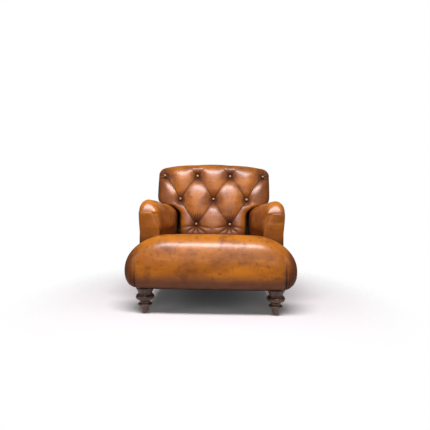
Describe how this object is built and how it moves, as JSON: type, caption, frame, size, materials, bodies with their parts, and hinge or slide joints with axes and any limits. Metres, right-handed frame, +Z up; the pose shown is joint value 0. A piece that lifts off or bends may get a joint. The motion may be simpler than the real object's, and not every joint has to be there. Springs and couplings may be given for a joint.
{
  "type": "upholstered armchair",
  "caption": "Low leather armchair with a deep-buttoned reclined back, padded rolled arms, a sprung seat with a full rounded front and turned front legs.",
  "frame": {"origin": "on the floor, under the middle of the chair's bounding box", "axes": "+Z up, +X to the right seen from the front, the chair faces -Y"},
  "size_m": [0.93, 0.884, 0.885],
  "materials": {
    "beech": "plain sawn beech",
    "stained_wood": "dark brown stain and polish",
    "steel": "bright steel",
    "webbing": "woven jute",
    "hessian": "open jute cloth",
    "fibre": "bonded fibre stuffing",
    "foam": "foam with wadding",
    "leather": "polished antiqued hide",
    "twine": "laid hemp twine",
    "dust_cloth": "black lining cloth"
  },
  "bodies": {
    "frame": {"front_rail": "beech", "left_side_rail": "beech", "right_side_rail": "beech", "back_rail": "beech", "front_corner_blocks": "beech", "rear_corner_blocks": "beech", "corner_block_screws": "steel", "frame_dowels": "beech", "left_back_upright": "stained_wood", "right_back_upright": "stained_wood", "back_top_rail": "beech", "back_tacking_rail": "beech", "left_arm_post": "beech", "right_arm_post": "beech", "left_arm_rail": "beech", "right_arm_rail": "beech", "left_arm_tacking_rail": "beech", "right_arm_tacking_rail": "beech", "left_front_leg": "stained_wood", "right_front_leg": "stained_wood", "leg_bolts": "steel", "leg_inserts": "steel", "floor_glides": "steel", "seat_webbing": "webbing", "seat_springs": "steel", "front_edge_springs": "steel", "spring_lashing": "twine", "seat_cover": "leather", "front_border_pad": "fibre", "dust_cover": "dust_cloth", "dust_cover_tacks": "steel", "left_arm_lining": "hessian", "right_arm_lining": "hessian", "left_arm_pad": "fibre", "right_arm_pad": "fibre", "left_arm_cover": "leather", "right_arm_cover": "leather", "left_arm_facing": "leather", "right_arm_facing": "leather", "left_outside_arm": "leather", "right_outside_arm": "leather", "back_webbing": "webbing", "back_hessian": "hessian", "back_pad": "fibre", "back_cover": "leather", "back_buttons": "leather", "button_ties": "twine", "outside_back": "leather", "outside_back_piping": "leather"},
    "seat_deck": {"seat_hessian": "hessian", "seat_fibre_pad": "fibre", "seat_foam": "foam", "front_edge_wire": "steel"}
  },
  "joints": [
    {"name": "seat_travel", "type": "slide", "parent": "frame", "child": "seat_deck", "axis": [0, 0, 1], "range_m": [-0.04, 0], "stiffness_N_per_m": 15000, "springref_m": 0.03, "deforming": ["seat_springs", "front_edge_springs", "spring_lashing", "seat_cover"]}
  ]
}
